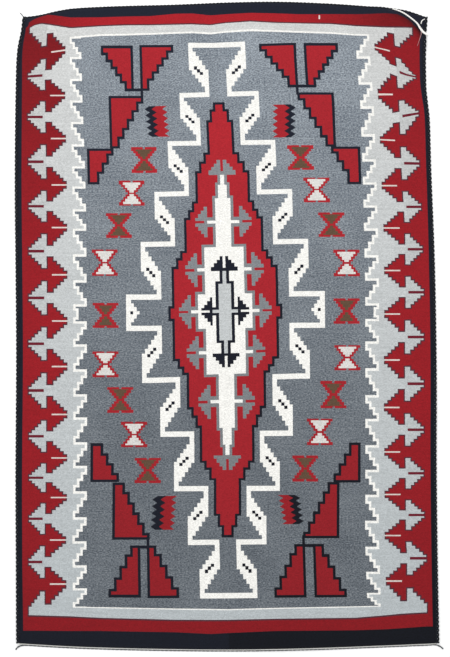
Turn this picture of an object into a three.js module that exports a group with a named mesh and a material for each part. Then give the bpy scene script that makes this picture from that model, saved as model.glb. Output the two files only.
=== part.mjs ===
// A handwoven wool rug of the four-by-six-foot class, lying face up on a floor.
// Millimetres, +Z up. +X runs across the rug, +Y along it towards the end whose corners
// are drawn in. It lies on z = 0, and the origin is the middle of its footprint. The tables
// below count from the middle of the cloth, and the whole is centred at the end.

import * as THREE from 'three';

// Driving dimensions
const CLOTH_THICKNESS = 3.6;
const SIDE_CORD = { radius: 2.9, bump: 12.4 };
const END_CORD = { radius: 2.3, bump: 11 };
const CORD_PLIES = 3; // ridges round a cord's section, one for each ply
const CORD_SEAT = Math.sin(Math.PI / 3); // height of a cord's centre, as a share of its radius
const STEPS_PER_BUMP = 2;
const SEAT_GAP = 0.4; // air between pieces that touch
const END_INSET = 0.003; // share of an end that its cord stops short of the side cords
const CORNER_REACH = 4; // how far a side cord runs on past the drawn-in corners
const YARN = { radius: 1.5, sides: 4, step: 9, fewestSteps: 3, tipShare: 0.6, bridge: 7 };

// The cloth's grid is finer towards the corner that is folded over: shares of the whole way
const ACROSS = [{ upTo: 0.885, cells: 24 }, { upTo: 1, cells: 9 }];
const ALONG = [{ upTo: 0.955, cells: 30 }, { upTo: 1, cells: 8 }];

// The woven cloth's four edges, from the lower left corner up or to the right
const EDGES = {
  left: [
    { x: -606, y: -921 },
    { x: -608, y: -660 },
    { x: -608, y: -380 },
    { x: -606, y: -100 },
    { x: -609, y: 180 },
    { x: -611, y: 440 },
    { x: -609, y: 660 },
    { x: -605, y: 790 },
    { x: -592, y: 856 },
    { x: -588, y: 892 },
  ],
  right: [
    { x: 608, y: -921 },
    { x: 603, y: -660 },
    { x: 600, y: -380 },
    { x: 600, y: -100 },
    { x: 594, y: 180 },
    { x: 584, y: 440 },
    { x: 573, y: 660 },
    { x: 569, y: 790 },
    { x: 571, y: 856 },
    { x: 574, y: 892 },
  ],
  bottom: [
    { x: -606, y: -921 },
    { x: -430, y: -932 },
    { x: -210, y: -938 },
    { x: 20, y: -941 },
    { x: 240, y: -937 },
    { x: 440, y: -929 },
    { x: 608, y: -921 },
  ],
  top: [
    { x: -588, y: 892 },
    { x: -530, y: 902 },
    { x: -440, y: 917 },
    { x: -300, y: 923 },
    { x: -120, y: 929 },
    { x: 80, y: 935 },
    { x: 260, y: 931 },
    { x: 400, y: 922 },
    { x: 500, y: 912 },
    { x: 574, y: 892 },
  ],
};

// Places where an edge stands a little off the floor, as a swell that has been worn in.
// along and across are its reach on each side, turn its bearing in degrees.
const SWELLS = [
  { x: -470, y: 965, along: 250, across: 95, turn: 6, rise: 5 },
  { x: 110, y: 985, along: 330, across: 110, turn: 0, rise: 4.5 },
  { x: -655, y: 330, along: 90, across: 210, turn: 0, rise: 4 },
  { x: 650, y: -260, along: 90, across: 250, turn: 0, rise: 4 },
  { x: 210, y: -985, along: 300, across: 90, turn: 0, rise: 3.5 },
];

// One corner bends over a soft fold that runs aslant, and its tip lies down again
const FOLD = { rise: 7, reachInside: 48, reachOutside: 16, stops: 40 };
const FOLD_LINE = [
  { x: 448, y: 921 },
  { x: 480, y: 905 },
  { x: 508, y: 891 },
  { x: 530, y: 873 },
  { x: 545, y: 852 },
  { x: 560, y: 836 },
  { x: 578, y: 824 },
];

// Loose ends of yarn at the corners
const BOTTOM_CORD_TAILS = {
  left: [{ x: -614, y: -943 }, { x: -613, y: -935 }, { x: -610, y: -928 }],
  right: [{ x: 613, y: -927 }, { x: 620, y: -932 }, { x: 627, y: -939 }],
};
const TOP_LEFT_YARN = [{ x: -593, y: 897.4 }, { x: -598, y: 904 }, { x: -604, y: 910 }];
const CORNER_CURL = [{ x: 556, y: 873 }, { x: 559, y: 881 }, { x: 567, y: 887 }];
const FOLD_YARN = [
  { x: 496, y: 907 },
  { x: 513, y: 903 },
  { x: 532, y: 892 },
  { x: 550, y: 875 },
  { x: 559, y: 861 },
  { x: 565, y: 848 },
  { x: 562, y: 834 },
  { x: 557, y: 822 },
  { x: 551, y: 811 },
];

const curve = (rows) => new THREE.SplineCurve(rows.map(({ x, y }) => new THREE.Vector2(x, y)));
const edge = Object.fromEntries(Object.entries(EDGES).map(([name, rows]) => [name, curve(rows)]));
const foldPoints = curve(FOLD_LINE).getSpacedPoints(FOLD.stops);

const bell = (t) => (Math.abs(t) < 1 ? Math.cos((t * Math.PI) / 2) ** 2 : 0);

// How high the cloth's underside stands over the floor at a place on the plan
function lift(x, y) {
  const swells = SWELLS.map((swell) => {
    const turn = THREE.MathUtils.degToRad(swell.turn);
    const dx = x - swell.x;
    const dy = y - swell.y;
    const along = (dx * Math.cos(turn) + dy * Math.sin(turn)) / swell.along;
    const across = (dy * Math.cos(turn) - dx * Math.sin(turn)) / swell.across;
    return swell.rise * bell(Math.hypot(along, across));
  });
  return swells.reduce((sum, height) => sum + height, foldHeight(x, y));
}

function foldHeight(x, y) {
  const place = new THREE.Vector2(x, y);
  const nearest = foldPoints.reduce((best, point) => (
    point.distanceTo(place) < best.distanceTo(place) ? point : best));
  const outside = x + y > nearest.x + nearest.y;
  const reach = outside ? FOLD.reachOutside : FOLD.reachInside;
  return FOLD.rise * bell(nearest.distanceTo(place) / reach);
}

// A place on the plan from shares across and along, blended between the four edges
function plan(across, along) {
  const left = edge.left.getPointAt(along);
  const right = edge.right.getPointAt(along);
  const bottom = edge.bottom.getPointAt(across);
  const top = edge.top.getPointAt(across);
  const sides = left.clone().lerp(right, across);
  const ends = bottom.clone().lerp(top, along);
  const low = edge.left.getPointAt(0).lerp(edge.right.getPointAt(0), across);
  const high = edge.left.getPointAt(1).lerp(edge.right.getPointAt(1), across);
  return sides.add(ends).sub(low.lerp(high, along));
}

// Shares from 0 to 1, with the stated number of cells up to each limit
function shares(zones) {
  const list = [0];
  for (const { upTo, cells } of zones) {
    const from = list.at(-1);
    for (let cell = 1; cell <= cells; cell += 1) list.push(from + ((upTo - from) * cell) / cells);
  }
  return list;
}

function indexedGeometry(positions, index) {
  const geometry = new THREE.BufferGeometry();
  geometry.setAttribute('position', new THREE.Float32BufferAttribute(positions, 3));
  geometry.setIndex(index);
  geometry.computeVertexNormals();
  return geometry;
}

// Closed sheet between an upper and a lower grid of points, joined all round its rim
function sheet(acrossShares, alongShares, pointAt) {
  const positions = [];
  for (const face of ['top', 'underside']) {
    for (const along of alongShares) {
      for (const across of acrossShares) positions.push(...pointAt(across, along, face));
    }
  }
  const columns = acrossShares.length - 1;
  const rows = alongShares.length - 1;
  const under = acrossShares.length * alongShares.length;
  const at = (column, row) => row * acrossShares.length + column;
  const index = [];
  for (let row = 0; row < rows; row += 1) {
    for (let column = 0; column < columns; column += 1) {
      const [a, b] = [at(column, row), at(column + 1, row)];
      const [c, d] = [at(column + 1, row + 1), at(column, row + 1)];
      index.push(a, b, c, a, c, d);
      index.push(under + a, under + c, under + b, under + a, under + d, under + c);
    }
  }
  const rim = [];
  for (let column = 0; column < columns; column += 1) rim.push(at(column, 0));
  for (let row = 0; row < rows; row += 1) rim.push(at(columns, row));
  for (let column = columns; column > 0; column -= 1) rim.push(at(column, rows));
  for (let row = rows; row > 0; row -= 1) rim.push(at(0, row));
  rim.forEach((a, i) => {
    const b = rim[(i + 1) % rim.length];
    index.push(a, under + a, under + b, a, under + b, b);
  });
  return indexedGeometry(positions, index);
}

// Closed rod whose section turns as it follows a route. Each stop of the route has a
// place, a radius and the turn of the section about the route.
function rod(stops, sides) {
  const positions = [];
  stops.forEach(({ place, radius, turn }, i) => {
    const before = stops[Math.max(i - 1, 0)].place;
    const after = stops[Math.min(i + 1, stops.length - 1)].place;
    const forward = after.clone().sub(before).normalize();
    const sideways = new THREE.Vector3(-forward.y, forward.x, 0).normalize();
    const upward = forward.clone().cross(sideways);
    for (let side = 0; side < sides; side += 1) {
      const angle = turn + (side / sides) * 2 * Math.PI;
      const point = place.clone()
        .addScaledVector(sideways, radius * Math.cos(angle))
        .addScaledVector(upward, radius * Math.sin(angle));
      positions.push(...point);
    }
  });
  const index = [];
  for (let stop = 0; stop < stops.length - 1; stop += 1) {
    for (let side = 0; side < sides; side += 1) {
      const [a, b] = [side, (side + 1) % sides].map((corner) => stop * sides + corner);
      index.push(a, b, a + sides, b, b + sides, a + sides);
    }
  }
  const last = (stops.length - 1) * sides;
  for (let side = 1; side < sides - 1; side += 1) {
    index.push(0, side + 1, side, last, last + side, last + side + 1);
  }
  return indexedGeometry(positions, index);
}

// A twisted cord along a plan curve, its ridges one bump apart. It lies on the floor beside
// the cloth, and where the cloth's edge stands off the floor it goes along with it.
function twistedCord(route, { radius, bump }) {
  const steps = Math.round(route.getLength() / bump) * STEPS_PER_BUMP;
  const stops = route.getSpacedPoints(steps).map(({ x, y }, i) => ({
    place: new THREE.Vector3(x, y, radius * CORD_SEAT + lift(x, y)),
    radius,
    turn: ((i / STEPS_PER_BUMP) * 2 * Math.PI) / CORD_PLIES,
  }));
  return rod(stops, CORD_PLIES);
}

// A cord's centre line: a cloth edge moved outwards, with any points before and after it.
// outward is 1 where that is to the left of the edge's own direction, and -1 to the right.
function besideEdge(name, outward, { radius }, before = [], after = []) {
  const atSide = name === 'left' || name === 'right';
  const points = shares(atSide ? ALONG : ACROSS).map((stop) => {
    const share = atSide ? stop : THREE.MathUtils.clamp(stop, END_INSET, 1 - END_INSET);
    const along = edge[name].getTangentAt(share);
    const normal = new THREE.Vector2(-along.y, along.x).multiplyScalar(outward);
    return edge[name].getPointAt(share).addScaledVector(normal, radius + SEAT_GAP);
  });
  return curve([...before, ...points, ...after]);
}

// A loose yarn, four-sided and thinner at its tip, that rests level on what is under it
function looseYarn(points, groundAt) {
  const route = curve(points);
  const steps = Math.max(YARN.fewestSteps, Math.round(route.getLength() / YARN.step));
  const stops = route.getSpacedPoints(steps).map(({ x, y }, i) => {
    const radius = YARN.radius * (i === steps ? YARN.tipShare : 1);
    return { place: new THREE.Vector3(x, y, groundAt(x, y) + radius), radius, turn: 0 };
  });
  return rod(stops, YARN.sides);
}

const onFloor = () => 0;

// On the cloth a yarn bridges between the highest places around it
function onCloth(x, y) {
  const around = [[0, 0], [1, 0], [-1, 0], [0, 1], [0, -1]].map(([dx, dy]) => (
    lift(x + dx * YARN.bridge, y + dy * YARN.bridge)));
  return Math.max(...around) + CLOTH_THICKNESS + SEAT_GAP;
}

const wool = (color) => new THREE.MeshStandardMaterial({ color, roughness: 0.95, metalness: 0 });
const CLOTH_WOOL = wool(0x8c4348);
const BLACK_WOOL = wool(0x1c202b);
const GREY_WOOL = wool(0x8d8f90);
const CREAM_WOOL = wool(0xe6ddd2);

const rug = new THREE.Group();

function add(name, geometry, material) {
  const mesh = new THREE.Mesh(geometry, material);
  mesh.name = name;
  rug.add(mesh);
}

// The woven cloth
add('rug_body', sheet(shares(ACROSS), shares(ALONG), (across, along, face) => {
  const { x, y } = plan(across, along);
  return [x, y, lift(x, y) + (face === 'top' ? CLOTH_THICKNESS : 0)];
}), CLOTH_WOOL);

// The selvage cords down both long sides, run on a little past the drawn-in corners
for (const [name, outward] of [['left', 1], ['right', -1]]) {
  const end = besideEdge(name, outward, SIDE_CORD).getPoint(1);
  const pastCorner = end.add(new THREE.Vector2(0, CORNER_REACH));
  const route = besideEdge(name, outward, SIDE_CORD, [], [pastCorner]);
  add(`side_cord_${name}`, twistedCord(route, SIDE_CORD), BLACK_WOOL);
}

// The cords at both ends. The lower one's own ends stick out at the corners.
add('end_cord_top', twistedCord(besideEdge('top', 1, END_CORD), END_CORD), BLACK_WOOL);
add('end_cord_bottom', twistedCord(besideEdge(
  'bottom', -1, END_CORD, BOTTOM_CORD_TAILS.left, BOTTOM_CORD_TAILS.right,
), END_CORD), GREY_WOOL);

// Loose yarn ends at the upper corners
add('yarn_end_top_left', looseYarn(TOP_LEFT_YARN, onFloor), GREY_WOOL);
add('yarn_curl_top_right', looseYarn(CORNER_CURL, onCloth), CREAM_WOOL);
add('yarn_over_fold', looseYarn(FOLD_YARN, onCloth), CREAM_WOOL);

// The origin goes to the middle of the whole footprint
const middle = new THREE.Box3().setFromObject(rug).getCenter(new THREE.Vector3());
rug.position.set(-middle.x, -middle.y, 0);

export default rug;
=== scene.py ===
# %% [markdown]
# # A handwoven wool rug
# The rug is a tapestry of wool: the dyed cross threads are packed down so hard that they
# hide the warp, and every change of colour is a thread that turns back. Its pattern could be
# painted on a picture and wrapped over a plane. Here it is worked out instead from a weaver's
# chart, so that every edge stays crisp however close the eye comes.
# The solid model holds the sizes. Its mesh is loaded first and never moved.

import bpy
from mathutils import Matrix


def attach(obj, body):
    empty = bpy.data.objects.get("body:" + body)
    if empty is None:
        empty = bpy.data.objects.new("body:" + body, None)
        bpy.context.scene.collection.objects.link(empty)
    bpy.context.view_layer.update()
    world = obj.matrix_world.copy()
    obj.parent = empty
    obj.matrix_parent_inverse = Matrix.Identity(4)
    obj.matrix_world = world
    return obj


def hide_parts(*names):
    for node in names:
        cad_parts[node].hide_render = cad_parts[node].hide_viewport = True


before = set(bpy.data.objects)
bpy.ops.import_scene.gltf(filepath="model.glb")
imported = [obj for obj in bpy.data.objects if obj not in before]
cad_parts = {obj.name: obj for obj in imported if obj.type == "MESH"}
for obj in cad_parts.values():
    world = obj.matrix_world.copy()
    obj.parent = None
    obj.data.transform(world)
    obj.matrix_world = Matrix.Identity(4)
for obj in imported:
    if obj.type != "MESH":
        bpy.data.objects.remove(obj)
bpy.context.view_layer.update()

# %% Other modules
import math

import bmesh
import bpy
import numpy as np

# %% [markdown]
# ## The weaver's square
# A weaver counts a pattern in small squares. One square of this chart is a little under three
# millimetres of cloth, which is about four passes of weft. The tables below count squares
# from the middle of the cloth, to the right and up. The model's origin is the middle of the
# whole footprint, so the shift between the two is read off a corner of the loaded cloth.

# %% The square and the shift
SQUARE = 0.002905
CORNER = (-0.606, -0.921)


def node_points(name):
    """The points of a loaded solid as rows of x, y and z."""
    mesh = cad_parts[name].data
    rows = np.empty(len(mesh.vertices) * 3)
    mesh.vertices.foreach_get("co", rows)
    return rows.reshape(-1, 3)


body_points = node_points("rug_body")
lowest = body_points[np.argmin(body_points[:, 0] + body_points[:, 1])]
MIDDLE = np.array([lowest[0] - CORNER[0], lowest[1] - CORNER[1]])
print("middle of the cloth, in millimetres from the origin:", (MIDDLE * 1000).round(2))

# %% [markdown]
# ## The camera
# The rug was looked at from straight above, through a long lens that keeps its sides
# parallel. The view is 450 squares wide and 657 high. A camera's sensor measures the longer
# side of an upright picture, so the height sets the distance.

# %% Camera
VIEW_SIZE = (450, 657)
VIEW_CENTRE = (-2.4, -3.0)
LENS = 85
SENSOR = 36
CLOTH_THICKNESS = 0.0036

scene = bpy.context.scene
camera_data = bpy.data.cameras.new("camera")
camera_data.lens = LENS
camera_data.sensor_width = SENSOR
camera_data.clip_end = 50
camera = bpy.data.objects.new("camera", camera_data)
scene.collection.objects.link(camera)
camera_height = VIEW_SIZE[1] * SQUARE * LENS / SENSOR + CLOTH_THICKNESS
camera.location = (
    VIEW_CENTRE[0] * SQUARE + MIDDLE[0],
    VIEW_CENTRE[1] * SQUARE + MIDDLE[1],
    camera_height,
)
scene.camera = camera
scene.view_settings.view_transform = "Standard"
print("camera height", round(camera_height, 3))

# %% [markdown]
# ## Light and floor
# A pale floor and a broad soft light keep the colours true. The sky gives an even light from
# everywhere, and one large panel past the far end makes that end brighter and lets the fold
# and the cords throw a faint shade.

# %% Light and floor
SKY_STRENGTH = 0.95
PANEL_POWER = 46
PANEL_SIZE = 2.4
PANEL_PLACE = (-0.5, 1.5, 2.6)
FLOOR_SIZE = 12

world = bpy.data.worlds.new("sky")
world.use_nodes = True
world.node_tree.nodes["Background"].inputs["Color"].default_value = (1, 1, 1, 1)
world.node_tree.nodes["Background"].inputs["Strength"].default_value = SKY_STRENGTH
scene.world = world

panel_data = bpy.data.lights.new("panel", "AREA")
panel_data.energy = PANEL_POWER
panel_data.size = PANEL_SIZE
panel = bpy.data.objects.new("panel", panel_data)
panel.location = PANEL_PLACE
away = panel.location.normalized()
panel.rotation_euler = away.to_track_quat("Z", "Y").to_euler()
scene.collection.objects.link(panel)

floor_mesh = bpy.data.meshes.new("floor")
shape = bmesh.new()
bmesh.ops.create_grid(shape, x_segments=1, y_segments=1, size=FLOOR_SIZE / 2)
shape.to_mesh(floor_mesh)
shape.free()
floor = bpy.data.objects.new("floor", floor_mesh)
scene.collection.objects.link(floor)
print("floor", FLOOR_SIZE, "metres wide")

# %% [markdown]
# ## The four edges
# A handmade rug is never square. Its sides wander, and one end is drawn in at both corners
# by the tension of the last wefts. Each edge is a smooth curve through a few places that were
# measured on the photograph, in metres, within a few millimetres of the solid model's. A
# spline object could give the curve, but a formula also gives the length along it, which the
# pattern needs.

# %% Smooth lines through a few places
EDGES = {
    "left": [
        (-0.608, -0.923), (-0.609, -0.660), (-0.610, -0.440), (-0.608, -0.100), (-0.610, 0.180),
        (-0.612, 0.440), (-0.610, 0.660), (-0.606, 0.790), (-0.594, 0.856), (-0.590, 0.892),
    ],
    "right": [
        (0.610, -0.923), (0.605, -0.660), (0.602, -0.380), (0.602, -0.100), (0.597, 0.180),
        (0.587, 0.440), (0.582, 0.600), (0.573, 0.682), (0.571, 0.790), (0.573, 0.856),
        (0.576, 0.892),
    ],
    "bottom": [
        (-0.608, -0.923), (-0.430, -0.933), (-0.210, -0.939), (0.020, -0.941), (0.240, -0.937),
        (0.440, -0.930), (0.610, -0.923),
    ],
    "top": [
        (-0.590, 0.892), (-0.544, 0.898), (-0.486, 0.911), (-0.430, 0.918), (-0.312, 0.924),
        (-0.160, 0.928), (0.000, 0.934), (0.150, 0.936), (0.298, 0.931), (0.414, 0.923),
        (0.500, 0.915), (0.530, 0.908), (0.560, 0.898), (0.576, 0.892),
    ],
}
STOPS_PER_SPAN = 24


class Line:
    """A smooth line through places, measured by its length."""

    def __init__(self, places):
        knots = np.array([places[0], *places, places[-1]], float)
        rows = []
        for before, start, end, after in zip(knots, knots[1:], knots[2:], knots[3:]):
            for t in np.arange(STOPS_PER_SPAN) / STOPS_PER_SPAN:
                rows.append(self.blend(before, start, end, after, t))
        self.points = np.array([*rows, knots[-1]])
        gaps = np.linalg.norm(np.diff(self.points, axis=0), axis=1)
        self.lengths = np.concatenate([[0], np.cumsum(gaps)])
        self.length = self.lengths[-1]

    @staticmethod
    def blend(before, start, end, after, t):
        """A place between start and end on the curve that all four places shape."""
        leave = (end - before) / 2
        arrive = (after - start) / 2
        turn = (2 * t**3 - 3 * t**2 + 1) * start + (t**3 - 2 * t**2 + t) * leave
        return turn + (3 * t**2 - 2 * t**3) * end + (t**3 - t**2) * arrive

    def at(self, share):
        """The places at shares of the length from 0 to 1."""
        reached = np.asarray(share) * self.length
        return np.stack(
            [np.interp(reached, self.lengths, column) for column in self.points.T], axis=-1
        )

    def heading(self, share):
        """The direction of the line at shares of its length."""
        step = 1e-4
        ahead = self.at(np.minimum(share + step, 1))
        behind = self.at(np.maximum(share - step, 0))
        return (ahead - behind) / np.linalg.norm(ahead - behind, axis=-1, keepdims=True)


edge = {name: Line(places) for name, places in EDGES.items()}
for name, line in edge.items():
    print(name, "edge", round(line.length, 3), "metres")

# %% [markdown]
# ## How the rug lies
# It lies flat, but wool keeps a memory: a few long swells stand off the floor at the edges,
# and one corner bends over a soft fold that runs aslant. Both are low bells added together.
# A cloth simulation would flatten them, so they are placed one by one.

# %% Swells and fold
SWELLS = [
    {"place": (-0.470, 0.965), "along": 0.250, "across": 0.095, "turn": 6, "rise": 0.005},
    {"place": (0.110, 0.985), "along": 0.330, "across": 0.110, "turn": 0, "rise": 0.0045},
    {"place": (-0.655, 0.330), "along": 0.090, "across": 0.210, "turn": 0, "rise": 0.004},
    {"place": (0.650, -0.260), "along": 0.090, "across": 0.250, "turn": 0, "rise": 0.004},
    {"place": (0.210, -0.985), "along": 0.300, "across": 0.090, "turn": 0, "rise": 0.0035},
]
FOLD_LINE = [
    (0.448, 0.921), (0.480, 0.905), (0.508, 0.891), (0.530, 0.873), (0.545, 0.852),
    (0.560, 0.836), (0.578, 0.824),
]
FOLD_RISE = 0.007
FOLD_REACH = {"inside": 0.048, "outside": 0.016}
FOLD_STOPS = 41
fold_points = Line(FOLD_LINE).at(np.linspace(0, 1, FOLD_STOPS))


def bell(t):
    """A round hump, 1 at 0 and level with the ground from 1 on."""
    return np.cos(np.clip(np.abs(t), 0, 1) * math.pi / 2) ** 2


def beyond_fold(places):
    """How far places lie beyond the fold line, less than 0 on the rug's side."""
    gaps = np.linalg.norm(places[:, None] - fold_points[None], axis=2)
    nearest = fold_points[np.argmin(gaps, axis=1)]
    outside = places.sum(axis=1) > nearest.sum(axis=1)
    return np.where(outside, 1, -1) * gaps.min(axis=1)


def lift(places):
    """How high the underside stands over the floor at places on the plan."""
    height = np.zeros(len(places))
    for swell in SWELLS:
        turn = math.radians(swell["turn"])
        dx, dy = (places - swell["place"]).T
        along = (dx * math.cos(turn) + dy * math.sin(turn)) / swell["along"]
        across = (dy * math.cos(turn) - dx * math.sin(turn)) / swell["across"]
        height += swell["rise"] * bell(np.hypot(along, across))
    beyond = beyond_fold(places)
    reach = np.where(beyond > 0, FOLD_REACH["outside"], FOLD_REACH["inside"])
    return height + FOLD_RISE * bell(beyond / reach)


print("height of the fold", lift(fold_points).max().round(4))

# %% [markdown]
# ## The cloth's shape
# One grid, made by an operator, is stretched between the four curves: every point is the
# blend of what the two sides and the two ends ask of it. That is how the weft and warp of a
# real rug bow with its edges. Solidify then gives the sheet its thickness downwards.

# %% Stretch a grid between the edges
CELL = 0.008


def stretched(across, along):
    """Places on the plan from shares across and along, between the four edges."""
    left, right = edge["left"].at(along), edge["right"].at(along)
    bottom, top = edge["bottom"].at(across), edge["top"].at(across)
    across, along = across[:, None], along[:, None]
    sides = left * (1 - across) + right * across
    ends = bottom * (1 - along) + top * along
    low = edge["left"].at(0) * (1 - across) + edge["right"].at(0) * across
    high = edge["left"].at(1) * (1 - across) + edge["right"].at(1) * across
    return sides + ends - low * (1 - along) - high * along


columns = round(edge["bottom"].length / CELL)
rows = round(edge["left"].length / CELL)
cloth_mesh = bpy.data.meshes.new("cloth")
shape = bmesh.new()
bmesh.ops.create_grid(shape, x_segments=columns, y_segments=rows, size=0.5)
shape.to_mesh(cloth_mesh)
shape.free()

points = np.empty(len(cloth_mesh.vertices) * 3)
cloth_mesh.vertices.foreach_get("co", points)
share_across, share_along = (points.reshape(-1, 3)[:, :2] + 0.5).T
plan = stretched(share_across, share_along)
cloth_points = np.column_stack([plan + MIDDLE, lift(plan) + CLOTH_THICKNESS])
cloth_mesh.vertices.foreach_set("co", cloth_points.ravel())
cloth_mesh.update()
print("cloth grid", columns, "by", rows)

# %% [markdown]
# ## The chart on the cloth
# The pattern is drawn on an even chart, and the loom made it uneven. A table for each way in
# which the cloth strays from the chart carries it over: where the middle line runs, how wide
# each side was woven, and at what height each row came out. These tables follow one real rug:
# their numbers were measured on its photograph, in squares. The result is written on the
# grid's points as an attribute, which the material reads like a second set of coordinates.

# %% Middle line and widths
ROW_HEIGHTS = [-320, -271, -212, -174, -124, -20, 38, 150, 223, 268, 300]
MIDDLE_LINE = [1.9, 1.9, 0.4, 0.3, 0.1, -1.4, -2.8, -5.4, -8.9, -11.0, -12.4]
LEFT_WIDTH = [1.03, 1.029, 1.022, 1.018, 1.015, 1.006, 0.997, 0.985, 0.972, 0.961, 0.955]
RIGHT_WIDTH = [0.991, 0.991, 0.987, 0.990, 0.992, 1.002, 1.012, 1.013, 1.019, 1.008, 1.010]
NUDGE_MIDDLE = 172
NUDGE_REACH = 28
NUDGES = {
    "left": {
        "heights": [-320, -250, -120, 0, 100, 250, 270, 300],
        "squares": [-0.8, -0.8, 0.2, 0.6, 0.6, 0.4, 1.6, 3.4],
    },
    "right": {
        "heights": [-320, -275, -231, -190, -147, -82, 0, 97, 150, 218, 242, 262, 290],
        "squares": [-0.4, -0.4, -2.2, -1.4, -0.8, 0.4, 0.2, -0.8, 1.5, 1.8, 1.7, 0.8, 2.0],
    },
}
TIP_FROM = 179
TIP_REACH = 18
TIP_NUDGES = {
    "left": {"heights": [-300, -200, -100, 0, 240, 290], "squares": [2.2, 2.2, 1.0, 0.3, 0.3, 3.0]},
    "right": {
        "heights": [-300, -231, -190, -147, -58, 33, 117, 161, 210, 251, 290],
        "squares": [-2.4, -3.6, -2.0, -1.0, -0.8, 0.0, 1.0, 1.8, 0.8, 1.0, 2.0],
    },
}


def strayed(nudges):
    """How many squares a table of both sides moves each point towards the middle."""
    left, right = [
        np.interp(squares_y, nudges[side]["heights"], nudges[side]["squares"])
        for side in ("left", "right")
    ]
    return np.where(on_left, left, right)


squares_x, squares_y = (plan / SQUARE).T
from_middle = squares_x - np.interp(squares_y, ROW_HEIGHTS, MIDDLE_LINE)
on_left = from_middle < 0
woven_width = np.where(
    on_left,
    np.interp(squares_y, ROW_HEIGHTS, LEFT_WIDTH),
    np.interp(squares_y, ROW_HEIGHTS, RIGHT_WIDTH),
)
chart_x = from_middle / woven_width
nudge = strayed(NUDGES) * bell((np.abs(chart_x) - NUDGE_MIDDLE) / NUDGE_REACH)
nudge += strayed(TIP_NUDGES) * np.clip((np.abs(chart_x) - TIP_FROM) / TIP_REACH, 0, 1)
chart_x += np.sign(chart_x) * nudge
print("chart runs from", chart_x.min().round(1), "to", chart_x.max().round(1), "across")

# %% Rows of the field, left and right of the middle
FIELD_ROWS = [
    {"row": -283, "left": -270.8, "right": -269.5},
    {"row": -230, "left": -217.5, "right": -216.0},
    {"row": -175.5, "left": -163.0, "right": -162.5},
    {"row": -120.5, "left": -108.7, "right": -107.5},
    {"row": -67, "left": -54.8, "right": -50.3},
    {"row": -15.5, "left": -2.8, "right": 0.3},
    {"row": 15.5, "left": 28.2, "right": 31.7},
    {"row": 67, "left": 81.2, "right": 84.2},
    {"row": 120.5, "left": 130.9, "right": 134.3},
    {"row": 175.5, "left": 181.5, "right": 183.3},
    {"row": 230, "left": 229.2, "right": 233.3},
    {"row": 283, "left": 280.2, "middle": 280.3, "right": 282.8},
]
FIELD_REACH = 75

# %% Rows of the end bands, which bow with the edges
LINE_ROW = 295.8
GREY_ROW = 306.5
RED_ROW = 319.3
BOTTOM_BANDS = {
    "across": [-199, -157, -127, -52, -17, 0, 48, 128, 158, 178, 198],
    "line": [-280.0, -281.5, -282.0, -283.5, -283.9, -284.2, -282.8, -281.2, -280.5, -279.5,
        -278.5],
    "grey": [-289.6, -290.8, -292.5, -294.5, -294.5, -294.5, -293.5, -292.5, -289.8, -288.0,
        -286.8],
    "red": [-305.2, -305.5, -305.5, -306.8, -308.5, -307.6, -305.5, -304.8, -303.8, -302.5,
        -301.0],
}
TOP_BANDS = {
    "across": [-201, -198, -193, -187, -179, -157, -127, -102, -77, -52, -35, -17, -2, 23, 48,
        73, 103, 128, 158, 170, 178, 184, 188],
    "line": [290.0, 290.0, 290.0, 290.0, 289.0, 287.6, 290.3, 290.8, 291.6, 292.7, 293.3, 292.0,
        293.8, 295.4, 294.5, 293.5, 292.5, 290.5, 290.0, 289.5, 289.0, 288.5, 288.0],
    "grey": [296.5, 297.8, 300.3, 302.2, 301.2, 297.5, 299.5, 300.5, 300.5, 300.9, 301.2, 300.4,
        302.6, 304.3, 302.8, 302.2, 301.7, 299.5, 297.9, 297.8, 297.7, 297.6, 297.5],
    "red": [297.5, 303.5, 306.3, 308.6, 310.8, 308.0, 308.2, 309.0, 309.4, 311.8, 312.0, 310.1,
        311.2, 312.6, 312.1, 311.2, 311.4, 311.3, 311.8, 310.9, 307.6, 303.6, 298.5],
}


def band_heights(bands, name):
    """The height at which a band's edge came out, at each point of the cloth."""
    return np.interp(squares_x, bands["across"], bands[name])


BANDS = {"red": RED_ROW, "grey": GREY_ROW, "line": LINE_ROW}

chart_rows = [(-row, band_heights(BOTTOM_BANDS, name)) for name, row in BANDS.items()]
for field_row in FIELD_ROWS:
    middle = field_row.get("middle", (field_row["left"] + field_row["right"]) / 2)
    heights = [field_row["left"], middle, field_row["right"]]
    woven = np.interp(from_middle, [-FIELD_REACH, 0, FIELD_REACH], heights)
    chart_rows.append((field_row["row"], woven))
for name in ("line", "grey", "red"):
    chart_rows.append((BANDS[name], band_heights(TOP_BANDS, name)))

chart_y = np.zeros(len(plan))
for (low_row, low), (high_row, high) in zip(chart_rows, chart_rows[1:]):
    part = (squares_y - low) / (high - low)
    inside = squares_y >= low if low_row > -RED_ROW else np.full(len(plan), True)
    chart_y = np.where(inside, low_row + part * (high_row - low_row), chart_y)
print("chart runs from", chart_y.min().round(1), "to", chart_y.max().round(1), "along")

# %% [markdown]
# ### Arrows, teeth and selvage
# The arrows and the saw teeth of the side borders were counted on their own, so no two sides
# match. Their tables give the height of every arrow's middle and every tooth's flat side.
# Between them a count runs on evenly. The black selvage stripe keeps its width from the
# cloth's own edge, so it has a third measure.

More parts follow.
